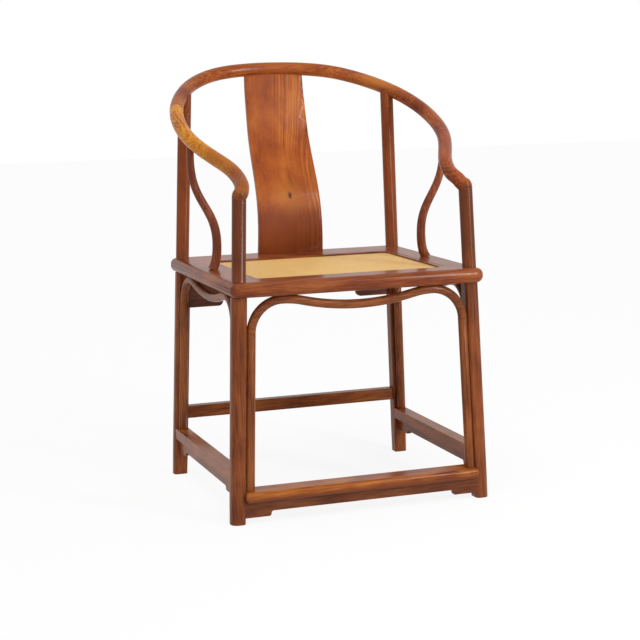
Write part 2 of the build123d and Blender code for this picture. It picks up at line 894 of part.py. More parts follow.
def side_stretcher_bar(side, grow):
    """A side stretcher's bar, running on into both legs."""
    length = 2 * leg_inner_y(side_stretcher_middle_z) + leg_width
    with BuildPart() as bar:
        with Locations((side_stretcher_x(side), 0, side_stretcher_middle_z)):
            add(
                edge_bar(
                    stretcher_side_width + 2 * grow,
                    stretcher_side_height + 2 * grow,
                    stretcher_side_radius + grow,
                    stretcher_side_under_radius + grow,
                    length,
                )
            )
    return bar.part


with BuildPart() as footrest:
    with BuildSketch(Plane.XY.offset(footrest_top - footrest_thickness)):
        board_half = leg_inner_x(footrest_middle_z) + footrest_bury
        with Locations((0, (footrest_front + footrest_rear) / 2)):
            Rectangle(2 * board_half, footrest_rear - footrest_front - 2 * footrest_bury)
        nose_half = leg_inner_x(footrest_middle_z) + footrest_overlap
        nose_rear = footrest_leg_front + 2 * footrest_bury
        with Locations((0, (footrest_front + nose_rear) / 2)):
            Rectangle(2 * nose_half, nose_rear - footrest_front)
        rear_half = leg_inner_x(footrest_top - footrest_thickness) - footrest_rear_ease
        with Locations((0, footrest_rear - 2 * footrest_bury)):
            Rectangle(2 * rear_half, 4 * footrest_bury)
    extrude(amount=footrest_thickness)
    nose_corners = footrest.edges().filter_by(Axis.Z)
    nose_corners = nose_corners.filter_by(lambda e: e.center().Y < footrest_front + tiny)
    fillet(nose_corners, footrest_nose_radius)
    nose_edges = footrest.edges().filter_by(
        lambda e: e.center().Y < footrest_front + footrest_nose_radius
        and abs(e.center().X) < nose_half - tiny
    )
    nose_edges = nose_edges.filter_by(
        lambda e: abs(e.center().Z - footrest_middle_z) > footrest_thickness / 2 - tiny
    )
    fillet(nose_edges, footrest_edge_radius)
    for side in sides.values():
        add(leg_voids[(side, -1)], mode=Mode.SUBTRACT)
    add(footrest_tenons(0))
save(footrest.part, "footrest")

with BuildPart() as stretcher:
    add(side_stretcher_bar(right, 0))
    for end in ends.values():
        add(leg_voids[(right, end)], mode=Mode.SUBTRACT)
    add(side_stretcher_tenons(right, 0))
save_pair(stretcher.part, "side_stretcher")

with BuildPart() as rear_stretcher:
    rear_y = leg_axis_point(1, 1, rear_stretcher_middle_z)[1]
    rear_length = 2 * leg_inner_x(rear_stretcher_middle_z) + leg_width
    with Locations(Location((0, rear_y, rear_stretcher_middle_z), (0, 0, 90))):
        add(
            edge_bar(
                stretcher_rear_width,
                stretcher_rear_height,
                stretcher_rear_radius,
                stretcher_rear_radius,
                rear_length,
            )
        )
    for side in sides.values():
        add(leg_voids[(side, 1)], mode=Mode.SUBTRACT)
    add(rear_stretcher_tenons(0))
save(rear_stretcher.part, "rear_stretcher")


def stepped_apron(half_length, top, bottom, drop, end_length):
    """Front view of an apron whose ends hang lower, with a soft step."""
    step = half_length - end_length
    with BuildSketch() as shape:
        with BuildLine():
            Polyline(
                (-half_length, top),
                (half_length, top),
                (half_length, bottom - drop),
                (step, bottom - drop),
                (step, bottom),
                (-step, bottom),
                (-step, bottom - drop),
                (-half_length, bottom - drop),
                close=True,
            )
        make_face()
        corners = shape.vertices().filter_by(lambda v: abs(abs(v.X) - step) < tiny)
        fillet(corners, drop / 2 - tiny)
    return shape.sketch


with BuildPart() as footrest_apron:
    apron_y = leg_axis_point(1, -1, footrest_apron_bottom)[1] - footrest_apron_outward
    half = leg_inner_x(footrest_apron_bottom - footrest_apron_end_drop) + apron_bury
    with BuildSketch(Plane.XZ.offset(-apron_y - apron_thickness / 2)):
        add(
            stepped_apron(
                half,
                footrest_top - footrest_thickness,
                footrest_apron_bottom,
                footrest_apron_end_drop,
                footrest_apron_end_length + apron_bury,
            )
        )
    extrude(amount=apron_thickness)
    for side in sides.values():
        add(leg_voids[(side, -1)], mode=Mode.SUBTRACT)
save(footrest_apron.part, "footrest_apron")

with BuildPart() as side_apron:
    half = leg_inner_y(side_apron_bottom - side_apron_end_drop) + apron_bury
    apron_x = leg_axis_point(right, 1, side_apron_bottom)[0]
    with BuildSketch(Plane.YZ.offset(apron_x - apron_thickness / 2)):
        add(
            stepped_apron(
                half,
                stretcher_side_top - stretcher_side_height,
                side_apron_bottom,
                side_apron_end_drop,
                side_apron_end_length + apron_bury,
            )
        )
    extrude(amount=apron_thickness)
    for end in ends.values():
        add(leg_voids[(right, end)], mode=Mode.SUBTRACT)
save_pair(side_apron.part, "side_apron")

# ---------------------------------------------------------------------------
# Arches and their uprights
# ---------------------------------------------------------------------------
front_corner_height = rail_underside - bar_diameter / 2 - front_corner_radius
front_bar_line = bar_inset_at(front_corner_height, leg_half_span, lean_x)
front_half = arch_half(front_bar_line, front_corner_radius, front_peak_radius, front_dip)
with BuildPart() as front_top:
    add(arch_top(front_plane(), front_half))
    for side in sides.values():
        add(leg_voids[(side, -1)], mode=Mode.SUBTRACT)
save(front_top.part, "front_arch_top")

with BuildPart() as upright:
    low = footrest_top - cut_margin
    high = front_corner_height + cut_margin
    low_point = (
        right * bar_inset_at(low, leg_half_span, lean_x),
        leg_axis_point(right, -1, low)[1] - front_arch_outward,
        low,
    )
    high_point = (
        right * bar_inset_at(high, leg_half_span, lean_x),
        leg_axis_point(right, -1, high)[1] - front_arch_outward,
        high,
    )
    add(bar_between(low_point, high_point, bar_diameter))
    with Locations((0, 0, footrest_top - cut_size / 2)):
        Box(2 * cut_size, 2 * cut_size, cut_size, mode=Mode.SUBTRACT)
    add(leg_voids[(right, -1)], mode=Mode.SUBTRACT)
    add(space_above(front_plane(), front_half["upright"][1]), mode=Mode.SUBTRACT)
save_pair(upright.part, "front_arch_bar")

side_corner_height = rail_underside - bar_diameter / 2 - side_corner_radius
side_bar_line = bar_inset_at(side_corner_height, leg_half_depth, lean_y)
side_half = arch_half(side_bar_line, side_corner_radius, side_peak_radius, side_dip)
plane = side_plane(right)
with BuildPart() as side_top:
    add(arch_top(plane, side_half))
    for end in ends.values():
        add(leg_voids[(right, end)], mode=Mode.SUBTRACT)
save_pair(side_top.part, "side_arch_top")
for end_name, end in ends.items():
    with BuildPart() as upright:
        low = stretcher_side_top - bar_seat_depth
        high = side_corner_height + cut_margin
        low_point = (
            leg_axis_point(right, end, low)[0],
            end * bar_inset_at(low, leg_half_depth, lean_y),
            low,
        )
        high_point = (
            leg_axis_point(right, end, high)[0],
            end * bar_inset_at(high, leg_half_depth, lean_y),
            high,
        )
        add(bar_between(low_point, high_point, bar_diameter))
        add(side_stretcher_bar(right, joint_gap), mode=Mode.SUBTRACT)
        add(leg_voids[(right, end)], mode=Mode.SUBTRACT)
        add(space_above(plane, side_half["upright"][1]), mode=Mode.SUBTRACT)
    save_pair(upright.part, f"side_arch_{end_name}_bar")

# Rear apron: a shallow strip with deep ends
with BuildPart() as rear_apron:
    apron_y = leg_axis_point(1, 1, rail_underside - rear_apron_end_drop / 2)[1]
    inner = leg_inner_x(rail_underside - rear_apron_end_drop)
    half = inner + apron_bury
    end_inner = inner - rear_apron_end_width
    with BuildSketch(Plane.XZ.offset(-apron_y - apron_thickness / 2)) as outline:
        with BuildLine():
            Polyline(
                (-half, rail_underside),
                (half, rail_underside),
                (half, rail_underside - rear_apron_end_drop),
                (end_inner, rail_underside - rear_apron_end_drop),
                (end_inner, rail_underside - rear_apron_strip_height),
                (-end_inner, rail_underside - rear_apron_strip_height),
                (-end_inner, rail_underside - rear_apron_end_drop),
                (-half, rail_underside - rear_apron_end_drop),
                close=True,
            )
        make_face()
        fillet(
            outline.vertices().filter_by(lambda v: abs(abs(v.X) - end_inner) < tiny),
            rear_apron_corner_radius,
        )
    extrude(amount=apron_thickness)
    for side in sides.values():
        add(leg_voids[(side, 1)], mode=Mode.SUBTRACT)
save(rear_apron.part, "rear_apron")

# ---------------------------------------------------------------------------
# Legs
# ---------------------------------------------------------------------------
with BuildPart() as front_leg:
    add(lower_leg(right, -1, 0))
    add(post_cylinder(right, -1, post_diameter, rail_underside - cut_margin, arm_joint_height))
    add(
        post_cylinder(
            right,
            -1,
            post_tenon_diameter,
            arm_joint_height - tenon_root,
            arm_joint_height + post_tenon_length,
        )
    )
    add(footrest_tenons(joint_gap), mode=Mode.SUBTRACT)
    add(side_stretcher_tenons(right, joint_gap), mode=Mode.SUBTRACT)
save_pair(front_leg.part, "front_leg")

with BuildPart() as rear_leg:
    add(lower_leg(right, 1, 0))
    add(post_cylinder(right, 1, post_diameter, rail_underside - cut_margin, hoop_meeting_height))
    add(hoop_void, mode=Mode.SUBTRACT)
    add(
        post_cylinder(
            right,
            1,
            post_tenon_diameter,
            hoop_meeting_height - rear_tenon_length,
            hoop_meeting_height + rear_tenon_past_middle,
        )
    )
    add(rear_stretcher_tenons(joint_gap), mode=Mode.SUBTRACT)
    add(side_stretcher_tenons(right, joint_gap), mode=Mode.SUBTRACT)
save_pair(rear_leg.part, "rear_leg")
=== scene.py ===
"""Horseshoe back armchair: its woods, cane and cords, on a plain studio floor.

Metres, +Z up, the chair's front towards -Y. The joined wooden members come from the
frame. The woven seat and the cords under it are built here.
"""

from __future__ import annotations

import logging
import math
from dataclasses import dataclass, replace
from enum import Enum
from typing import Any

import bpy
import numpy as np
from mathutils import Euler, Matrix, Vector

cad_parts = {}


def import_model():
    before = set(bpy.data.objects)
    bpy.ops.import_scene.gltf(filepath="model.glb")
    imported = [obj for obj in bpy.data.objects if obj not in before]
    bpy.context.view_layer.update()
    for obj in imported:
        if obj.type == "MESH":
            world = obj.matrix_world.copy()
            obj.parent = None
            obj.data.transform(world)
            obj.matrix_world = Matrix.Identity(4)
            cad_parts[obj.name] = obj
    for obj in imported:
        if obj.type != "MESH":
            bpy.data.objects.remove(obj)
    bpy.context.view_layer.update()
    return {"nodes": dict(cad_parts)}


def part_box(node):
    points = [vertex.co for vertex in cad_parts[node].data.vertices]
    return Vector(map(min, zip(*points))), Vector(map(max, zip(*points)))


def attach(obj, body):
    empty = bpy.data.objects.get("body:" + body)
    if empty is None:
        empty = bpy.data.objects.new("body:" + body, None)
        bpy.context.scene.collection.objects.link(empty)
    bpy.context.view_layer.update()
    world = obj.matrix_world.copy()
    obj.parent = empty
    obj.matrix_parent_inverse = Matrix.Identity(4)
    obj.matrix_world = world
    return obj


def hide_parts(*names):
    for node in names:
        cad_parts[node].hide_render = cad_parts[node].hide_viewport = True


LOG = logging.getLogger("armchair")
MM = 0.001
# Most values of a noise lie within this range
NOISE_SPAN = (0.3, 0.7)

Point = tuple[float, float, float]
Colour = tuple[float, float, float, float]
Tree = bpy.types.NodeTree
Socket = bpy.types.NodeSocket


def linear(hex_colour: str) -> Colour:
    """Turns an sRGB hex value into a linear colour.

    Each channel c is c / 12.92 below 0.04045, and ((c + 0.055) / 1.055) to the power
    2.4 above it.

    Args:
        hex_colour: Six hex digits after a hash.

    Returns:
        Linear red, green and blue, and an alpha of 1.
    """
    channels = [int(hex_colour[i : i + 2], 16) / 255 for i in (1, 3, 5)]
    bent = [c / 12.92 if c <= 0.04045 else ((c + 0.055) / 1.055) ** 2.4 for c in channels]
    return (bent[0], bent[1], bent[2], 1.0)


def add_node(
    tree: Tree,
    kind: str,
    settings: dict[str, Any] | None = None,
    inputs: dict[str | int, Any] | None = None,
) -> bpy.types.Node:
    """Adds a node with its settings and links.

    Args:
        tree: The material's node tree.
        kind: Blender's name for the kind of node.
        settings: Attributes to set. "stops" holds a colour ramp's places and colours.
        inputs: Input names or numbers, each with a value or another node's output.

    Returns:
        The new node.
    """
    made = tree.nodes.new(kind)
    for name, value in (settings or {}).items():
        if name != "stops":
            setattr(made, name, value)
            continue
        ramp = made.color_ramp
        while len(ramp.elements) < len(value):
            ramp.elements.new(0.5)
        for element, (place, colour) in zip(ramp.elements, value):
            element.position = place
            element.color = colour
    for name, value in (inputs or {}).items():
        socket = made.inputs[name]
        if isinstance(value, bpy.types.NodeSocket):
            tree.links.new(value, socket)
        else:
            socket.default_value = value
    return made


def maths(tree: Tree, operation: str, *values: Any) -> Socket:
    """Adds a maths node and returns its result."""
    made = add_node(tree, "ShaderNodeMath", {"operation": operation}, dict(enumerate(values)))
    return made.outputs[0]


def vector_maths(tree: Tree, operation: str, *values: Any) -> bpy.types.Node:
    """Adds a vector maths node, whose result is a vector or a value."""
    settings = {"operation": operation}
    return add_node(tree, "ShaderNodeVectorMath", settings, dict(enumerate(values)))


def object_place(tree: Tree) -> Socket:
    """Place on the object, in its own coordinates."""
    return add_node(tree, "ShaderNodeTexCoord").outputs["Object"]


def remap(
    tree: Tree,
    value: Socket,
    given: tuple[float, float],
    wanted: tuple[float, float] = (0.0, 1.0),
    style: str = "SMOOTHSTEP",
) -> Socket:
    """Carries a value from one range to another and holds it within that one.

    Args:
        tree: The material's node tree.
        value: The value to carry over.
        given: The range it comes in.
        wanted: The range it goes out in.
        style: Blender's name for the way between the two ends.

    Returns:
        The value in its new range.
    """
    ends = {
        "From Min": given[0],
        "From Max": given[1],
        "To Min": wanted[0],
        "To Max": wanted[1],
    }
    settings = {"interpolation_type": style}
    return add_node(tree, "ShaderNodeMapRange", settings, {"Value": value} | ends).outputs[0]


def blend(tree: Tree, share: Socket, under: Socket, over: Colour) -> Socket:
    """Mixes a colour towards another one by a share."""
    values = {0: share, 6: under, 7: over}
    return add_node(tree, "ShaderNodeMix", {"data_type": "RGBA"}, values).outputs[2]


def raise_surface(
    tree: Tree, shader: bpy.types.Node, height: Socket, strength: float, depth_mm: float
) -> None:
    """Gives a shader a small relief.

    Args:
        tree: The material's node tree.
        shader: The shader that gets the relief.
        height: Height pattern, 0 to 1.
        strength: Share of the relief that shows.
        depth_mm: Depth of the relief in millimetres.
    """
    values = {"Height": height, "Strength": strength, "Distance": depth_mm * MM}
    bump = add_node(tree, "ShaderNodeBump", inputs=values)
    tree.links.new(bump.outputs[0], shader.inputs["Normal"])


def new_material(
    name: str, constants: dict[str, Any]
) -> tuple[bpy.types.Material, Tree, bpy.types.Node]:
    """Makes an empty material with its output and a principled shader joined to it.

    Args:
        name: The material's name.
        constants: Values of the shader's sockets.

    Returns:
        The material, its node tree and the principled shader.
    """
    material = bpy.data.materials.new(name)
    material.use_nodes = True
    tree = material.node_tree
    tree.nodes.clear()
    shader = add_node(tree, "ShaderNodeBsdfPrincipled", inputs=constants)
    add_node(tree, "ShaderNodeOutputMaterial", inputs={"Surface": shader.outputs["BSDF"]})
    return material, tree, shader


def add_object(
    name: str, data: bpy.types.ID, matrix: Matrix | None = None
) -> bpy.types.Object:
    """Adds an object to the scene.

    Args:
        name: The object's name.
        data: Its mesh, lamp or camera.
        matrix: Its place and turn, or None to leave it at the origin.

    Returns:
        The new object.
    """
    made = bpy.data.objects.new(name, data)
    if matrix is not None:
        made.matrix_world = matrix
    bpy.context.scene.collection.objects.link(made)
    return made


class Grain(Enum):
    """Direction in which a member's grain runs."""

    ACROSS = (1.0, 0.0, 0.0)
    DEEP = (0.0, 1.0, 0.0)
    UPRIGHT = (0.0, 0.0, 1.0)

    def turn(self) -> Matrix:
        """Turn that brings this direction upright."""
        return Vector(self.value).rotation_difference(Vector((0, 0, 1))).to_matrix()


@dataclass(frozen=True)
class Knot:
    """A small knot that the growth lines flow round. Metres."""

    place: Point
    radius: float
    reach: float


@dataclass(frozen=True)
class Patch:
    """A soft patch of another colour, twice as long as wide. Metres."""

    place: Point
    reach: float
    colour: str
    share: float


@dataclass(frozen=True)
class Drift:
    """A slow change of colour along a line through a member. Metres.

    The wood has its own colour up to start, and the drift's colour by share past end.
    """

    start: Point
    end: Point
    colour: str
    share: float

    @classmethod
    def between_heights(cls, start: float, end: float, colour: str, share: float) -> Drift:
        """Drift straight up or down from one height to another."""
        return cls((0.0, 0.0, start), (0.0, 0.0, end), colour, share)


@dataclass(frozen=True)
class Streaks:
    """Noise drawn out along the grain."""

    across_mm: float
    times_longer: float
    octaves: float

    def build(self, tree: Tree, board: Socket) -> bpy.types.Node:
        """Builds the noise.

        Args:
            tree: The material's node tree.
            board: The board's coordinates, with the grain upright.

        Returns:
            The noise node.
        """
        squeezed = add_node(
            tree,
            "ShaderNodeMapping",
            {"vector_type": "POINT"},
            {"Vector": board, "Scale": (1.0, 1.0, 1.0 / self.times_longer)},
        )
        values = {
            "Vector": squeezed.outputs[0],
            "Scale": 1.0 / (self.across_mm * MM),
            "Detail": self.octaves,
            "Roughness": 0.55,
        }
        return add_node(tree, "ShaderNodeTexNoise", {"noise_dimensions": "3D"}, values)


WANDER = Streaks(across_mm=60.0, times_longer=4.0, octaves=2.0)
FADING = Streaks(across_mm=45.0, times_longer=3.0, octaves=1.0)
FIBRES = Streaks(across_mm=2.6, times_longer=32.0, octaves=3.0)
MOTTLE = Streaks(across_mm=60.0, times_longer=1.8, octaves=3.0)
# Pores are 0.2 mm wide; they are drawn 1.1 mm wide so that they show at all.
PORES = Streaks(across_mm=1.1, times_longer=14.0, octaves=1.0)


@dataclass(frozen=True)
class Rosewood:
    """Planed, scraped and waxed yellow rosewood (huanghuali).

    Growth lines lie round a pith outside the board, so they run along it and close
    into arches where a curved member cuts across them. They stand out in some places
    and fade in others. A slow mottle between honey and red brown, and fine open pores,
    show through a thin, satin wax film.
    """

    grain: Grain = Grain.UPRIGHT
    name: str = "rosewood"
    centre: Point = (0.0, 0.0, 0.0)
    seed: int = 0
    # Metres along the grain between the boards of two members
    seed_step: float = 0.731
    darkest: str = "#2A120B"
    dark: str = "#5E2C17"
    deep: str = "#84401F"
    body: str = "#9C5029"
    light: str = "#B9703A"
    colour_places: tuple[float, ...] = (0.38, 0.45, 0.51, 0.60)
    ring_mm: float = 5.0
    pith_mm: tuple[float, float] = (85.0, 40.0)
    slant_deg: tuple[float, float] = (2.0, 1.2)
    bend_mm: float = 34.0
    ring_share: float = 0.20
    fibre_share: float = 0.42
    mottle_share: float = 0.38
    # Noise values from where the growth lines are faded to where they are strong
    fading: tuple[float, float] = (0.38, 0.60)
    faded_share: float = 0.25
    knot_push_rings: float = 2.6
    # Noise values from a pore's rim to its bottom
    pore_rim: tuple[float, float] = (0.58, 0.70)
    pore_depth: float = 0.16
    end_grain: float = 0.50
    end_grain_power: float = 6.0
    roughness: tuple[float, float] = (0.30, 0.40)
    knots: tuple[Knot, ...] = ()
    patches: tuple[Patch, ...] = ()
    drifts: tuple[Drift, ...] = ()
    # Line from a board's plain side to its figured side
    figure: tuple[Point, Point] | None = None
    plain_share: float = 0.15

    def _mapped(self, tree: Tree, turn: Matrix, shift: Vector) -> Socket:
        """Place on the object, turned and then shifted."""
        values = {"Vector": object_place(tree), "Location": shift, "Rotation": turn.to_euler()}
        return add_node(tree, "ShaderNodeMapping", {"vector_type": "POINT"}, values).outputs[0]

    def _board(self, tree: Tree) -> Socket:
        """Finds coordinates in the board: its grain upright and its pith at the origin.

        Args:
            tree: The material's node tree.

        Returns:
            The board's coordinates.
        """
        slant = Euler([math.radians(a) for a in self.slant_deg] + [0.0]).to_matrix()
        turn = slant @ self.grain.turn()
        across, deep = self.pith_mm
        pith = Vector((across * MM, deep * MM, self.seed_step * self.seed))
        return self._mapped(tree, turn, pith - turn @ Vector(self.centre))

    def _rings(self, tree: Tree, board: Socket) -> Socket:
        """Builds the growth lines.

        The distance from the pith, bent by slow noise and pushed out round each knot, is
        divided by the ring width and read through noise along that one number, so lines
        differ in width and in depth. A second slow noise fades them in places, and a
        figured board has them on one side more than on the other.

        Args:
            tree: The material's node tree.
            board: The board's coordinates.

        Returns:
            The growth lines, 0 to 1, about one half.
        """
        wander = WANDER.build(tree, board).outputs["Color"]
        bend = (self.bend_mm * MM, self.bend_mm * MM, 0.0)
        bent = vector_maths(tree, "MULTIPLY_ADD", wander, bend, board)
        flat = vector_maths(tree, "MULTIPLY", bent.outputs[0], (1.0, 1.0, 0.0))
        distance = vector_maths(tree, "LENGTH", flat.outputs[0]).outputs["Value"]
        push = self.knot_push_rings * self.ring_mm * MM
        for knot in self.knots:
            near = self._near(tree, knot.place, knot.reach)
            distance = maths(tree, "MULTIPLY_ADD", near, push, distance)
        count = maths(tree, "DIVIDE", distance, self.ring_mm * MM)
        values = {"W": count, "Scale": 1.0, "Detail": 2.0, "Roughness": 0.6}
        lines = add_node(tree, "ShaderNodeTexNoise", {"noise_dimensions": "1D"}, values)
        patches = FADING.build(tree, board).outputs[0]
        shown = remap(tree, patches, self.fading, (self.faded_share, 1.0))
        if self.figure:
            across = self._along(tree, *self.figure)
            strength = remap(tree, across, (0.0, 1.0), (self.plain_share, 1.0), "LINEAR")
            shown = maths(tree, "MULTIPLY", shown, strength)
        values = {0: shown, 2: 0.5, 3: lines.outputs[0]}
        return add_node(tree, "ShaderNodeMix", {"data_type": "FLOAT"}, values).outputs[0]

    def _along(self, tree: Tree, start: Point, end: Point) -> Socket:
        """Measures how far a place lies along a line through the member.

        The share is (p - start) . (end - start) over the squared length between them.

        Args:
            tree: The material's node tree.
            start: Where the line starts.
            end: Where it ends.

        Returns:
            Smooth 0 to 1 from start to end.
        """
        first, last = Vector(start), Vector(end)
        line = (last - first) / (last - first).length_squared
        share = vector_maths(tree, "DOT_PRODUCT", object_place(tree), line).outputs["Value"]
        return remap(tree, share, (first.dot(line), last.dot(line)))

    def _near(self, tree: Tree, middle: Point, reach: float) -> Socket:
        """Measures the nearness to a place.

        The distance counts half along the grain, so the figure is longer than wide.

        Args:
            tree: The material's node tree.
            middle: The place.
            reach: Distance at which nearness ends.

        Returns:
            1 at the place, falling smoothly to 0 at reach.
        """
        turn = self.grain.turn()
        local = self._mapped(tree, turn, -(turn @ Vector(middle)))
        squashed = vector_maths(tree, "MULTIPLY", local, (1.0, 1.0, 0.5))
        length = vector_maths(tree, "LENGTH", squashed.outputs[0]).outputs["Value"]
        return remap(tree, length, (0.0, reach), (1.0, 0.0))

    def _end_grain(self, tree: Tree) -> Socket:
        """Darkens faces that cut the fibres.

        The factor is the size of normal dot grain, raised to a power.

        Args:
            tree: The material's node tree.

        Returns:
            0 on a face along the fibres, and the end grain's share on one across them.
        """
        normal = add_node(tree, "ShaderNodeNewGeometry").outputs["Normal"]
        facing = vector_maths(tree, "DOT_PRODUCT", normal, self.grain.value).outputs["Value"]
        size = maths(tree, "ABSOLUTE", facing)
        sharp = maths(tree, "POWER", size, self.end_grain_power)
        return maths(tree, "MULTIPLY", sharp, self.end_grain)

    def _colour(self, tree: Tree, board: Socket, fibres: Socket, pores: Socket) -> Socket:
        """Builds the wood's colour.

        Growth lines, fibres and mottle are added by their shares and read through the
        four colours. Drifts, patches, pores, end grain and knots come over that.

        Args:
            tree: The material's node tree.
            board: The board's coordinates.
            fibres: The fibres' noise.
            pores: The pores' mask.

        Returns:
            The colour.
        """
        rings = self._rings(tree, board)
        mottle = MOTTLE.build(tree, board).outputs[0]
        mix: Any = 0.0
        for share, part in (
            (self.ring_share, rings),
            (self.fibre_share, fibres),
            (self.mottle_share, mottle),
        ):
            mix = maths(tree, "MULTIPLY_ADD", part, share, mix)
        colours = [linear(c) for c in (self.dark, self.deep, self.body, self.light)]
        stops = list(zip(self.colour_places, colours))
        ramp = add_node(tree, "ShaderNodeValToRGB", {"stops": stops}, {0: mix})
        colour = ramp.outputs["Color"]
        for drift in self.drifts:
            along = self._along(tree, drift.start, drift.end)
            share = maths(tree, "MULTIPLY", along, drift.share)
            colour = blend(tree, share, colour, linear(drift.colour))
        for patch in self.patches:
            near = self._near(tree, patch.place, patch.reach)
            share = maths(tree, "MULTIPLY", near, patch.share)
            colour = blend(tree, share, colour, linear(patch.colour))
        spots = [self._near(tree, knot.place, knot.radius) for knot in self.knots]
        for factor in (pores, self._end_grain(tree), *spots):
            colour = blend(tree, factor, colour, linear(self.darkest))
        return colour

    def build(self) -> bpy.types.Material:
        """Builds the material.

        Returns:
            The finished material.
        """
        wax = {
            "IOR": 1.5,
            "Specular IOR Level": 0.08,
            "Coat Weight": 0.17,
            "Coat Roughness": 0.12,
        }
        material, tree, shader = new_material(self.name, wax)
        board = self._board(tree)
        fibres = FIBRES.build(tree, board).outputs[0]
        pores = PORES.build(tree, board).outputs[0]
        mask = remap(tree, pores, self.pore_rim, (0.0, self.pore_depth))
        colour = self._colour(tree, board, fibres, mask)
        tree.links.new(colour, shader.inputs["Base Color"])
        gloss = remap(tree, fibres, NOISE_SPAN, self.roughness, "LINEAR")
        tree.links.new(gloss, shader.inputs["Roughness"])
        height = maths(tree, "SUBTRACT", fibres, mask)
        raise_surface(tree, shader, height, strength=0.12, depth_mm=0.3)
        return material


@dataclass(frozen=True)
class WovenCane:
    """Split rattan peel, woven two over and two under, aged to straw.

    Each flat strand is smooth and slightly rounded, so the sheet has a dry, soft sheen.
    Its crowns carry a painted highlight, and its edges and the gaps a painted shade.
    """

    name: str = "woven_cane"
    # Crown of each strand, a painted highlight
    light: str = "#F8D28A"
    body: str = "#ECB96A"
    # Strand edges and the gaps between strands, a painted shade
    painted_gap_shade: str = "#B07E3C"
    aged: str = "#D09A52"
    aged_share: float = 0.22
    # Strands are 1.0 mm wide; they are drawn 2.2 mm wide so that the weave shows.
    strand_mm: float = 2.2
    strands_over: int = 2

    def _weave(self, tree: Tree) -> Socket:
        """Builds the strands.

        The two strand profiles are the sizes of sines of the place across and along the
        sheet. Which one is on top changes every two strands along each diagonal: the
        strands' numbers are added and counted round to four, and the first two are over.

        Args:
            tree: The material's node tree.

        Returns:
            Height of the weave, 0 to 1.
        """
        axes = add_node(tree, "ShaderNodeSeparateXYZ", inputs={0: object_place(tree)})
        profiles, strands = [], []
        for axis in (0, 1):
            count = maths(tree, "DIVIDE", axes.outputs[axis], self.strand_mm * MM)
            wave = maths(tree, "SINE", maths(tree, "MULTIPLY", count, math.pi))
            profiles.append(maths(tree, "ABSOLUTE", wave))
            strands.append(maths(tree, "FLOOR", count))
        total = maths(tree, "ADD", *strands)
        step = maths(tree, "FLOORED_MODULO", total, 2.0 * self.strands_over)
        over = maths(tree, "LESS_THAN", step, self.strands_over - 0.5)
        values = {0: over, 2: profiles[0], 3: profiles[1]}
        return add_node(tree, "ShaderNodeMix", {"data_type": "FLOAT"}, values).outputs[0]

    def build(self) -> bpy.types.Material:
        """Builds the material.

        Returns:
            The finished material.
        """
        dry = {"Roughness": 0.58, "Specular IOR Level": 0.25}
        material, tree, shader = new_material(self.name, dry)
        height = self._weave(tree)
        # Painted light: each strand's crown gets the light colour as a painted highlight, and its
        # edges and the gaps get the dark one as a painted shade
        stops = [(0.05, linear(self.painted_gap_shade)), (0.45, linear(self.body)), (0.95, linear(self.light))]
        weave = add_node(tree, "ShaderNodeValToRGB", {"stops": stops}, {0: height})
        values = {"Vector": object_place(tree), "Scale": 16.0, "Detail": 3.0}
        cloud = add_node(tree, "ShaderNodeTexNoise", inputs=values)
        age = remap(tree, cloud.outputs[0], NOISE_SPAN, (0.0, self.aged_share), "LINEAR")
        colour = blend(tree, age, weave.outputs["Color"], linear(self.aged))
        tree.links.new(colour, shader.inputs["Base Color"])
        raise_surface(tree, shader, height, strength=0.5, depth_mm=0.5)
        return material


@dataclass(frozen=True)
class PalmFibre:
    """Brown palm bast, twisted by hand into two-ply cord: coarse, hairy and matt."""

    name: str = "palm_fibre"
    dark: str = "#2C1A10"
    light: str = "#6B452A"
    hair_mm: float = 0.6

    def build(self) -> bpy.types.Material:
        """Builds the material, with the hairs as fine noise.

        Returns:
            The finished material.
        """
        material, tree, shader = new_material(self.name, {"Roughness": 0.85})
        scale = 1.0 / (self.hair_mm * MM)
        values = {"Vector": object_place(tree), "Scale": scale, "Detail": 3.0}
        hairs = add_node(tree, "ShaderNodeTexNoise", inputs=values).outputs[0]
        stops = [(0.35, linear(self.dark)), (0.65, linear(self.light))]
        colour = add_node(tree, "ShaderNodeValToRGB", {"stops": stops}, {0: hairs})
        tree.links.new(colour.outputs["Color"], shader.inputs["Base Color"])
        raise_surface(tree, shader, hairs, strength=0.6, depth_mm=0.6)
        return material


@dataclass
class SubAssembly:
    """Members of the chair that are dressed together."""

    nodes: dict[str, bpy.types.Object]
    arris_mm: float = 0.7
    arris_segments: int = 2
    sharp_deg: float = 40.0
    weld_mm: float = 0.01

    def dress(self, name: str, finish: Rosewood) -> None:
        """Gives a wooden member its own board of a finish, and breaks its arrises.

        Args:
            name: The member's name.
            finish: The wood that it is cut from.
        """
        member = self.nodes[name]
        low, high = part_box(name)
        centre = tuple((low + high) / 2)
        seed = sorted(self.nodes).index(name) + 1
        board = replace(finish, name=f"rosewood_{name}", centre=centre, seed=seed)
        self.assign(member, board.build())
        weld = member.modifiers.new("weld", "WELD")
        weld.merge_threshold = self.weld_mm * MM
        arris = member.modifiers.new("arris", "BEVEL")
        arris.width = self.arris_mm * MM
        arris.segments = self.arris_segments
        arris.limit_method = "ANGLE"
        arris.angle_limit = math.radians(self.sharp_deg)
        arris.use_clamp_overlap = True
        arris.harden_normals = True
        LOG.info("dressed %s, grain %s", name, finish.grain.name.lower())

    def assign(self, member: bpy.types.Object, material: bpy.types.Material) -> None:
        """Puts a material on an object's slots, leaving its mesh as it is.

        Args:
            member: The object.
            material: Its new material.
        """
        if not member.material_slots:
            member.data.materials.append(material)
        for slot in member.material_slots:
            slot.link = "OBJECT"
            slot.material = material


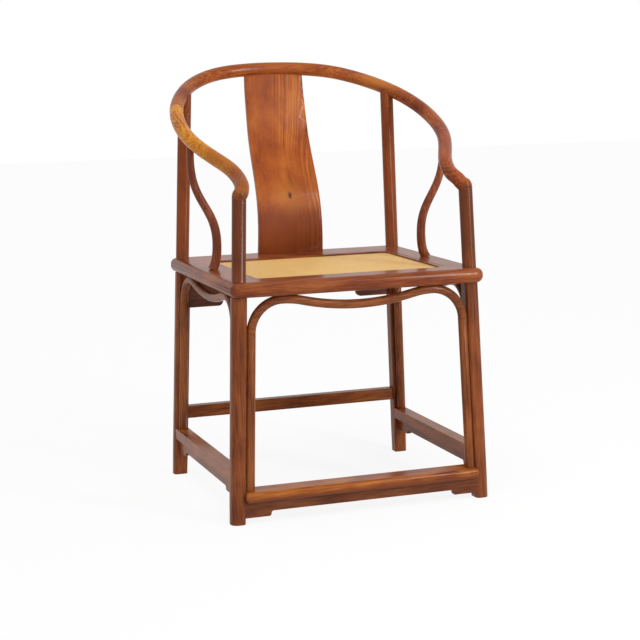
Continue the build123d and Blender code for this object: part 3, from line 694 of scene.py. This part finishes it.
@dataclass
class Hoop(SubAssembly):
    """The crest rail, the two arms and the pins that lock their scarf joints. Metres."""

    # Heights between which an arm's end darkens, a painted shade
    arm_end: tuple[float, float] = (0.705, 0.675)
    # Distances from the left arm's front end between which it turns russet
    turning: tuple[float, float] = (0.14, 0.06)

    def build(self) -> None:
        """Dresses the hoop: a golden left arm that turns russet, the rest red brown."""
        self.crest()
        # Painted shade down both arms' ends, carrying on the front posts' painted shade
        falling = Drift.between_heights(*self.arm_end, "#5A2812", 0.75)
        self.arm_left(falling)
        self.arm_right(falling)
        pin = Rosewood(Grain.DEEP, deep="#6A3018", body="#7C3D20", light="#934C28")
        for side in ("left", "right"):
            self.dress(f"scarf_pin_{side}", pin)

    def crest(self) -> None:
        """Dresses the crest rail: dark by the left joint, pale on the right."""
        veins = (
            Patch((-0.2513, 0.1551, 0.8912), 0.045, "#6E2A12", 0.75),
            Patch((0.0300, 0.2850, 0.9450), 0.070, "#9A4E22", 0.50),
            Patch((0.2400, 0.1900, 0.9000), 0.050, "#C47A30", 0.60),
        )
        crest = Rosewood(
            Grain.ACROSS,
            deep="#88401A",
            body="#9E5020",
            light="#B66628",
            slant_deg=(4.0, 3.0),
            patches=veins,
        )
        self.dress("crest_rail", crest)

    def arm_left(self, falling: Drift) -> None:
        """Dresses the golden arm, which turns russet towards its front end.

        Args:
            falling: The dark drift down the arm's end, a painted shade.
        """
        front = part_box("arm_left")[0].y
        start, end = ((0.0, front + distance, 0.0) for distance in self.turning)
        honey = Rosewood(
            Grain.DEEP,
            dark="#8E5010",
            deep="#B86A12",
            body="#D08318",
            light="#DE9A2C",
            patches=(Patch((-0.2700, -0.1300, 0.7600), 0.040, "#8A3E1C", 0.60),),
            drifts=(Drift(start, end, "#87401F", 0.80), falling),
        )
        self.dress("arm_left", honey)

    def arm_right(self, falling: Drift) -> None:
        """Dresses the russet arm, with two darker patches.

        Args:
            falling: The dark drift down the arm's end, a painted shade.
        """
        patches = (
            Patch((0.2779, 0.0749, 0.8435), 0.035, "#6A2812", 0.70),
            Patch((0.2778, -0.1127, 0.7776), 0.060, "#8A3315", 0.50),
        )
        russet = Rosewood(
            Grain.DEEP,
            deep="#843A16",
            body="#98481A",
            light="#AE5E26",
            patches=patches,
            drifts=(falling,),
        )
        self.dress("arm_right", russet)


@dataclass
class Back(SubAssembly):
    """The splat and the two bent struts. Metres."""

    # Place of the knot: across from the middle, back and up from the splat's lowest corner
    knot: Point = (0.0035, 0.0134, 0.1454)
    # Heights above the splat's lower end between which it darkens
    bottom: tuple[float, float] = (0.134, 0.094)

    def build(self) -> None:
        """Dresses the splat with a figured board and one small knot, and the struts."""
        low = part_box("back_splat")[0]
        across, back, up = self.knot
        knot = Knot((across, low.y + back, low.z + up), radius=0.0078, reach=0.034)
        halo = Patch(knot.place, 0.040, "#BE7626", 0.45)
        start, end = (low.z + height for height in self.bottom)
        darker = Drift.between_heights(start, end, "#7C3A1E", 0.80)
        splat = Rosewood(
            Grain.UPRIGHT,
            deep="#90441A",
            body="#A2521E",
            light="#BA6C2A",
            ring_mm=5.6,
            pith_mm=(-140.0, 20.0),
            slant_deg=(1.0, 0.6),
            bend_mm=14.0,
            ring_share=0.50,
            fibre_share=0.10,
            mottle_share=0.40,
            pore_depth=0.05,
            knots=(knot,),
            patches=(halo,),
            drifts=(darker,),
            figure=((-0.010, 0.0, 0.0), (0.014, 0.0, 0.0)),
        )
        self.dress("back_splat", splat)
        strut = Rosewood(Grain.UPRIGHT, deep="#6C3420", body="#814227", light="#9C5632")
        for side in ("left", "right"):
            self.dress(f"side_strut_{side}", strut)


@dataclass
class Seat(SubAssembly):
    """The mitred seat frame with its bearers, woven cane and cord webbing. Metres."""

    cane_corner: float = 0.0237
    cane_sag: float = 0.0012
    # Share of the CAD sheet's thickness that the cane has
    cane_share: float = 0.8
    rings: int = 26
    spokes: int = 160
    halvings: int = 40
    cord_radius: float = 0.0011
    cord_pitch: float = 0.0105
    # Rise and fall of a cord where it crosses others, as a share of its radius
    cord_wave: float = 0.55
    # Room left inside the sheet's rim at a cord's ends, and beside the outermost cords
    cord_inset: float = 0.002
    cord_margin: float = 0.004
    cord_corner: float = 0.022
    cord_stations: int = 140
    cord_sides: int = 6

    def build(self) -> None:
        """Dresses the frame and builds the cane sheet and the webbing."""
        rail = Rosewood(Grain.ACROSS, deep="#70341A", body="#80401E", light="#96522A")
        for end in ("front", "rear"):
            self.dress(f"seat_rail_{end}", rail)
            self.dress(f"cane_strip_{end}", replace(rail, light="#945028"))
        side_rail = replace(rail, grain=Grain.DEEP)
        bearer = replace(side_rail, body="#7A3E22", light="#935030")
        for side in ("left", "right"):
            self.dress(f"seat_rail_{side}", side_rail)
            self.dress(f"cane_strip_{side}", replace(side_rail, light="#945028"))
            self.dress(f"seat_bearer_{side}", bearer)
        self.cane_sheet()
        self.webbing()

    def outline(
        self, low: Vector, high: Vector, radius: float, angles: np.ndarray
    ) -> np.ndarray:
        """Points on a rectangle with rounded corners, met by rays from its middle.

        Along each ray the distance is found by halving: a point is inside when its
        distance past the corner circle's centre, both ways, is under the radius.

        Args:
            low: Lowest corner.
            high: Highest corner.
            radius: Corner radius.
            angles: Directions of the rays.

        Returns:
            One row of x and y for each ray, from the rectangle's middle.
        """
        half = np.array([(high.x - low.x) / 2, (high.y - low.y) / 2])
        rays = np.stack([np.cos(angles), np.sin(angles)], axis=1)
        near, far = np.zeros(len(angles)), np.full(len(angles), 2 * half.max())
        for _ in range(self.halvings):
            middle = (near + far) / 2
            past = np.maximum(np.abs(rays * middle[:, None]) - (half - radius), 0)
            inside = np.hypot(past[:, 0], past[:, 1]) <= radius
            near, far = np.where(inside, middle, near), np.where(inside, far, middle)
        return rays * near[:, None]

    def cane_sheet(self) -> None:
        """Builds the cane as rings that shrink from the rim to the middle.

        A ring's share s of the rim sets its place, and its height is the rim's less the
        sag times one minus s squared.
        """
        low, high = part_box("cane_panel")
        angles = np.linspace(0, 2 * math.pi, self.spokes, endpoint=False)
        rim = self.outline(low, high, self.cane_corner, angles)
        shares = np.linspace(1 / self.rings, 1, self.rings)
        middle = np.array([(low.x + high.x) / 2, (low.y + high.y) / 2])
        flat = shares[:, None, None] * rim[None] + middle
        heights = high.z - self.cane_sag * (1 - shares**2)
        levels = np.broadcast_to(heights[:, None, None], flat.shape[:2] + (1,))
        grid = np.concatenate([flat, levels], axis=2)
        centre = np.array([[middle[0], middle[1], high.z - self.cane_sag]])
        points = np.concatenate([grid.reshape(-1, 3), centre])

        spoke = np.arange(self.spokes)
        following = (spoke + 1) % self.spokes
        inner = np.arange(self.rings - 1)[:, None] * self.spokes
        outer = inner + self.spokes
        corners = [inner + spoke, outer + spoke, outer + following, inner + following]
        quads = np.stack(corners, axis=-1).reshape(-1, 4)
        hub = np.stack([np.full(self.spokes, len(points) - 1), spoke, following], axis=1)
        faces = quads.tolist() + hub.tolist()
        sheet = self.new_piece("cane_seat", points, faces, WovenCane().build())
        thickness = sheet.modifiers.new("thickness", "SOLIDIFY")
        thickness.thickness = (high.z - low.z) * self.cane_share
        thickness.offset = -1.0
        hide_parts("cane_panel")

    def webbing(self) -> None:
        """Builds the cords: two sets of round cords that pass over and under each other.

        A cord's middle line rises and falls as the sine of half a turn for each cord
        that it crosses, and neighbours are half a turn apart.
        """
        low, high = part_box("palm_webbing")
        half = np.array([(high.x - low.x) / 2, (high.y - low.y) / 2]) - self.cord_inset
        middle = np.array([(low.x + high.x) / 2, (low.y + high.y) / 2])
        level = (low.z + high.z) / 2
        points, faces = [], []
        total = 0
        for along in (0, 1):
            across = 1 - along
            count = int(2 * (half[across] - self.cord_margin) / self.cord_pitch)
            places = (np.arange(count) - (count - 1) / 2) * self.cord_pitch
            past = np.maximum(np.abs(places) - (half[across] - self.cord_corner), 0)
            rounding = np.sqrt(np.maximum(self.cord_corner**2 - past**2, 0))
            reach = half[along] - self.cord_corner + rounding
            for number, (place, end) in enumerate(zip(places, reach)):
                travel = np.linspace(-end, end, self.cord_stations)
                turn = np.pi * (travel / self.cord_pitch + number + along)
                line = np.zeros((len(travel), 3))
                line[:, along] = travel + middle[along]
                line[:, across] = place + middle[across]
                line[:, 2] = level + self.cord_radius * self.cord_wave * np.sin(turn)
                tube, tube_faces = self.tube(line, along)
                faces.append(tube_faces + total)
                points.append(tube)
                total += len(tube)
        all_faces = np.concatenate(faces).tolist()
        webbing = self.new_piece(
            "palm_cords", np.concatenate(points), all_faces, PalmFibre().build()
        )
        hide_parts("palm_webbing")

    def tube(self, line: np.ndarray, along: int) -> tuple[np.ndarray, np.ndarray]:
        """Closed six-sided tube round a line that runs mostly along one level axis.

        Each point is the line's point plus the radius times the cosine of an angle
        sideways and its sine upwards. Two quads close each end.

        Args:
            line: Points of the middle line.
            along: 0 where the line runs across the chair, 1 where it runs deep.

        Returns:
            The tube's points and its faces.
        """
        sides = self.cord_sides
        angles = np.arange(sides) / sides * 2 * math.pi
        sideways = np.array([0.0, 1.0, 0.0]) if along == 0 else np.array([-1.0, 0.0, 0.0])
        upwards = np.array([0.0, 0.0, 1.0])
        circle = np.cos(angles)[:, None] * sideways + np.sin(angles)[:, None] * upwards
        points = (line[:, None, :] + self.cord_radius * circle[None]).reshape(-1, 3)
        side = np.arange(sides)
        after = (side + 1) % sides
        start = np.arange(len(line) - 1)[:, None] * sides
        stop = start + sides
        corners = [start + side, start + after, stop + after, stop + side]
        quads = np.stack(corners, axis=-1).reshape(-1, 4)
        caps = np.array([[0, 3, 2, 1], [0, 5, 4, 3], [0, 1, 2, 3], [0, 3, 4, 5]])
        caps[2:] += (len(line) - 1) * sides
        return points, np.concatenate([quads, caps])

    def new_piece(
        self, name: str, points: np.ndarray, faces: list[list[int]], material: bpy.types.Material
    ) -> bpy.types.Object:
        """Makes a smooth object from points and faces, riding with the chair.

        Args:
            name: The piece's name.
            points: One row for each point, in metres.
            faces: Point numbers of each face.
            material: The piece's material.

        Returns:
            The new object.
        """
        mesh = bpy.data.meshes.new(name)
        mesh.from_pydata(points.tolist(), [], faces)
        mesh.shade_smooth()
        mesh.materials.append(material)
        piece = add_object(name, mesh)
        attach(piece, "root")
        LOG.info("built %s: %d faces", name, len(faces))
        return piece


@dataclass
class Base(SubAssembly):
    """The legs, arches, stretchers, footrest and aprons. Metres."""

    # Heights between which a leg's brown gives way to its post's: a painted shade on the front
    # posts, a more saturated brown on the rear ones
    posts: tuple[float, float] = (0.50, 0.56)
    # Heights between which the footrest darkens towards its underside, a painted shade
    nose: tuple[float, float] = (0.064, 0.050)

    def build(self) -> None:
        """Dresses everything from the legs down."""
        self.legs()
        bar = Rosewood(
            Grain.UPRIGHT, dark="#562917", deep="#6E391C", body="#7E4420", light="#925428"
        )
        across = replace(bar, grain=Grain.ACROSS)
        deep = replace(bar, grain=Grain.DEEP)
        self.arches(bar, across, deep)
        self.stretchers(across, deep)

    def legs(self) -> None:
        """Dresses the legs: painted shade on the front posts, a richer brown on the rear ones."""
        leg = Rosewood(
            Grain.UPRIGHT, dark="#562815", deep="#6C3619", body="#7C401E", light="#8E4E26"
        )
        # Painted shade: the front posts darken above the seat
        front = replace(leg, drifts=(Drift.between_heights(*self.posts, "#542612", 0.75),))
        rear = replace(leg, drifts=(Drift.between_heights(*self.posts, "#80380E", 0.60),))
        for side in ("left", "right"):
            self.dress(f"front_leg_{side}", front)
            self.dress(f"rear_leg_{side}", rear)

    def arches(self, bar: Rosewood, across: Rosewood, deep: Rosewood) -> None:
        """Dresses the three arches.

        Args:
            bar: Wood of the uprights.
            across: Wood of the front arch's top.
            deep: Wood of the side arches' tops.
        """
        self.dress("front_arch_top", across)
        for side in ("left", "right"):
            self.dress(f"front_arch_bar_{side}", bar)
            self.dress(f"side_arch_top_{side}", deep)
            for end in ("front", "rear"):
                self.dress(f"side_arch_{end}_bar_{side}", bar)

    def stretchers(self, across: Rosewood, deep: Rosewood) -> None:
        """Dresses the stretchers, the footrest and the aprons.

        Args:
            across: Wood of the bars that run across the chair.
            deep: Wood of the bars that run deep.
        """
        side_bar = replace(deep, deep="#7C401E", body="#8E4C22", light="#A45E2A")
        for side in ("left", "right"):
            self.dress(f"side_stretcher_{side}", side_bar)
            self.dress(f"side_apron_{side}", deep)
        self.dress("rear_stretcher", across)
        # Painted shade: the rear apron, under the seat, is a darker copy of the bars' wood
        shaded = replace(across, deep="#502A1C", body="#643624", light="#78442C")
        self.dress("rear_apron", shaded)
        # Painted shade: the footrest's apron, set under the footrest, is a darker copy of the
        # bars' wood
        apron_painted_shade = replace(across, deep="#5E3019", body="#6C3A20", light="#7E4826")
        self.dress("footrest_apron", apron_painted_shade)
        # Painted shade: the footrest darkens towards its underside; its wood is paler than the
        # bars'
        under = Drift.between_heights(*self.nose, "#6A341C", 0.80)
        pale_with_painted_shade = replace(across, deep="#86431A", body="#9A5420", light="#B06A2A", drifts=(under,))
        self.dress("footrest", pale_with_painted_shade)


@dataclass
class Studio:
    """Plain pale floor, soft even light and the camera. Metres."""

    place: Point = (-1.2479, -3.5366, 0.9769)
    yaw_deg: float = 20.04
    pitch_deg: float = 9.09
    roll_deg: float = -0.91
    lens_mm: float = 93.99
    sensor_mm: float = 36.0
    shift: tuple[float, float] = (-0.0221, -0.0022)
    sky: float = 0.56
    sun: float = 0.90
    sun_from: Point = (-0.40, -0.60, 1.50)
    sun_spread_deg: float = 40.0
    strip_watts: float = 34.0
    strip_size: tuple[float, float] = (0.35, 1.4)
    strip_place: Point = (1.3, -2.2, 1.5)
    strip_aim: Point = (0.0, 0.0, 0.6)
    floor_reach: float = 12.0
    floor_colour: Colour = (0.95, 0.95, 0.95, 1.0)
    floor_white: float = 0.88
    white: Colour = (1.0, 1.0, 1.0, 1.0)

    def build(self) -> None:
        """Builds the camera, the floor, the world and the lamps."""
        self.camera()
        self.floor()
        self.world()
        self.lamps()
        bpy.context.scene.view_settings.view_transform = "Standard"

    def camera(self) -> None:
        """Places the camera from its heading, its dip and its roll.

        The camera looks along the heading dipped by the pitch. Its right and up are the
        level right and their cross product, turned together by the roll.
        """
        yaw, pitch, roll = (
            math.radians(angle) for angle in (self.yaw_deg, self.pitch_deg, self.roll_deg)
        )
        level_ahead = math.cos(pitch)
        ahead = Vector(
            (math.sin(yaw) * level_ahead, math.cos(yaw) * level_ahead, -math.sin(pitch))
        )
        level = Vector((math.cos(yaw), -math.sin(yaw), 0.0))
        above = level.cross(ahead)
        right = math.cos(roll) * level + math.sin(roll) * above
        up = math.cos(roll) * above - math.sin(roll) * level
        data = bpy.data.cameras.new("camera")
        data.lens = self.lens_mm
        data.sensor_width = self.sensor_mm
        data.shift_x, data.shift_y = self.shift
        turned = Matrix((right, up, -ahead)).transposed().to_4x4()
        camera = add_object("camera", data, Matrix.Translation(self.place) @ turned)
        bpy.context.scene.camera = camera

    def seen(self, tree: Tree) -> Socket:
        """Finds the rays that show the background.

        Args:
            tree: A material's or the world's node tree.

        Returns:
            1 for rays to the camera, mirrored or let through, and 0 for others.
        """
        path = add_node(tree, "ShaderNodeLightPath")
        seen = path.outputs["Is Camera Ray"]
        for ray in ("Is Glossy Ray", "Is Transmission Ray"):
            seen = maths(tree, "MAXIMUM", seen, path.outputs[ray])
        return seen

    def floor(self) -> None:
        """Builds a wide white floor that holds the chair's shadow.

        To the camera, and in reflections, a share of its light is plain white, so that
        the shadow stays faint and the floor runs into the background.
        """
        reach = self.floor_reach
        corners = [(-reach, -reach, 0), (reach, -reach, 0), (reach, reach, 0), (-reach, reach, 0)]
        mesh = bpy.data.meshes.new("floor")
        mesh.from_pydata(corners, [], [(0, 1, 2, 3)])
        matt = {"Base Color": self.floor_colour, "Roughness": 1.0, "Specular IOR Level": 0.0}
        material, tree, shader = new_material("studio_floor", matt)
        share = maths(tree, "MULTIPLY", self.seen(tree), self.floor_white)
        values = {"Color": self.white, "Strength": 1.0}
        plain = add_node(tree, "ShaderNodeEmission", inputs=values)
        values = {0: share, 1: shader.outputs["BSDF"], 2: plain.outputs[0]}
        mix = add_node(tree, "ShaderNodeMixShader", inputs=values)
        output = next(node for node in tree.nodes if node.type == "OUTPUT_MATERIAL")
        tree.links.new(mix.outputs[0], output.inputs["Surface"])
        mesh.materials.append(material)
        floor = add_object("floor", mesh)

    def world(self) -> None:
        """Lights the scene evenly, and shows white to the camera and in reflections."""
        world = bpy.data.worlds.new("studio")
        world.use_nodes = True
        tree = world.node_tree
        tree.nodes.clear()
        even, plain = (
            add_node(
                tree, "ShaderNodeBackground", inputs={"Color": self.white, "Strength": strength}
            )
            for strength in (self.sky, 1.0)
        )
        values = {0: self.seen(tree), 1: even.outputs[0], 2: plain.outputs[0]}
        mix = add_node(tree, "ShaderNodeMixShader", inputs=values)
        add_node(tree, "ShaderNodeOutputWorld", inputs={"Surface": mix.outputs[0]})
        bpy.context.scene.world = world

    def lamps(self) -> None:
        """Adds a wide soft sun from above and a narrow strip that lines the round bars."""
        sun = bpy.data.lights.new("sun", "SUN")
        sun.energy = self.sun
        sun.angle = math.radians(self.sun_spread_deg)
        add_object("sun", sun, self.facing(Vector(self.sun_from)))
        strip = bpy.data.lights.new("strip", "AREA")
        strip.energy = self.strip_watts
        strip.shape = "RECTANGLE"
        strip.size, strip.size_y = self.strip_size
        place = Vector(self.strip_place)
        aim = self.facing(place - Vector(self.strip_aim))
        add_object("strip", strip, Matrix.Translation(place) @ aim)

    def facing(self, away: Vector) -> Matrix:
        """Turn of a lamp whose light comes from a direction."""
        return away.to_track_quat("Z", "Y").to_matrix().to_4x4()


def main() -> None:
    """Builds the chair's sub-assemblies in order, then the studio."""
    logging.basicConfig(level=logging.INFO, format="%(name)s: %(message)s")
    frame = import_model()
    nodes = frame["nodes"]
    for assembly in (Base(nodes), Seat(nodes), Back(nodes), Hoop(nodes)):
        assembly.build()
    Studio().build()


if __name__ == "__main__":
    main()
